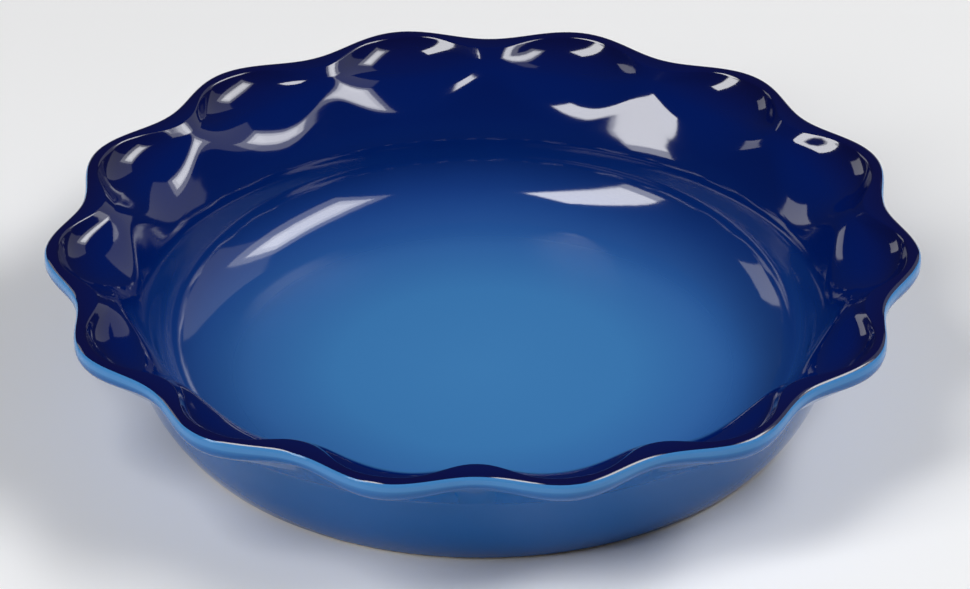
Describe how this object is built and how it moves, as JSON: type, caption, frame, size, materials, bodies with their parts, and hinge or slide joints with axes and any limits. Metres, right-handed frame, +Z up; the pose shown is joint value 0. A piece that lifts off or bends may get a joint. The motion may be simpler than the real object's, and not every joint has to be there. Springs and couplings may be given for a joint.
{
  "type": "pie dish",
  "caption": "Round glazed stoneware pie dish with a ruffled rim, a flared wall, a rounded well and a bare foot ring.",
  "frame": {"origin": "centre of the bare foot ring, on the surface that the dish stands on", "axes": "+Z up along the dish's axis; +X through the middle of a lobe of the rim; -Y through a valley"},
  "size_m": [0.268, 0.2624, 0.0485],
  "materials": {
    "bare_clay": "matt, unglazed fired stoneware, cream",
    "inner_glaze": "high gloss glaze, mid blue on the floor deepening to navy at the rim",
    "outer_glaze": "high gloss mid blue glaze",
    "underside_glaze": "high gloss mid blue glaze"
  },
  "bodies": {
    "root": {"stoneware_body": "bare_clay", "inner_glaze": "inner_glaze", "outer_glaze": "outer_glaze", "underside_glaze": "underside_glaze"}
  },
  "joints": []
}
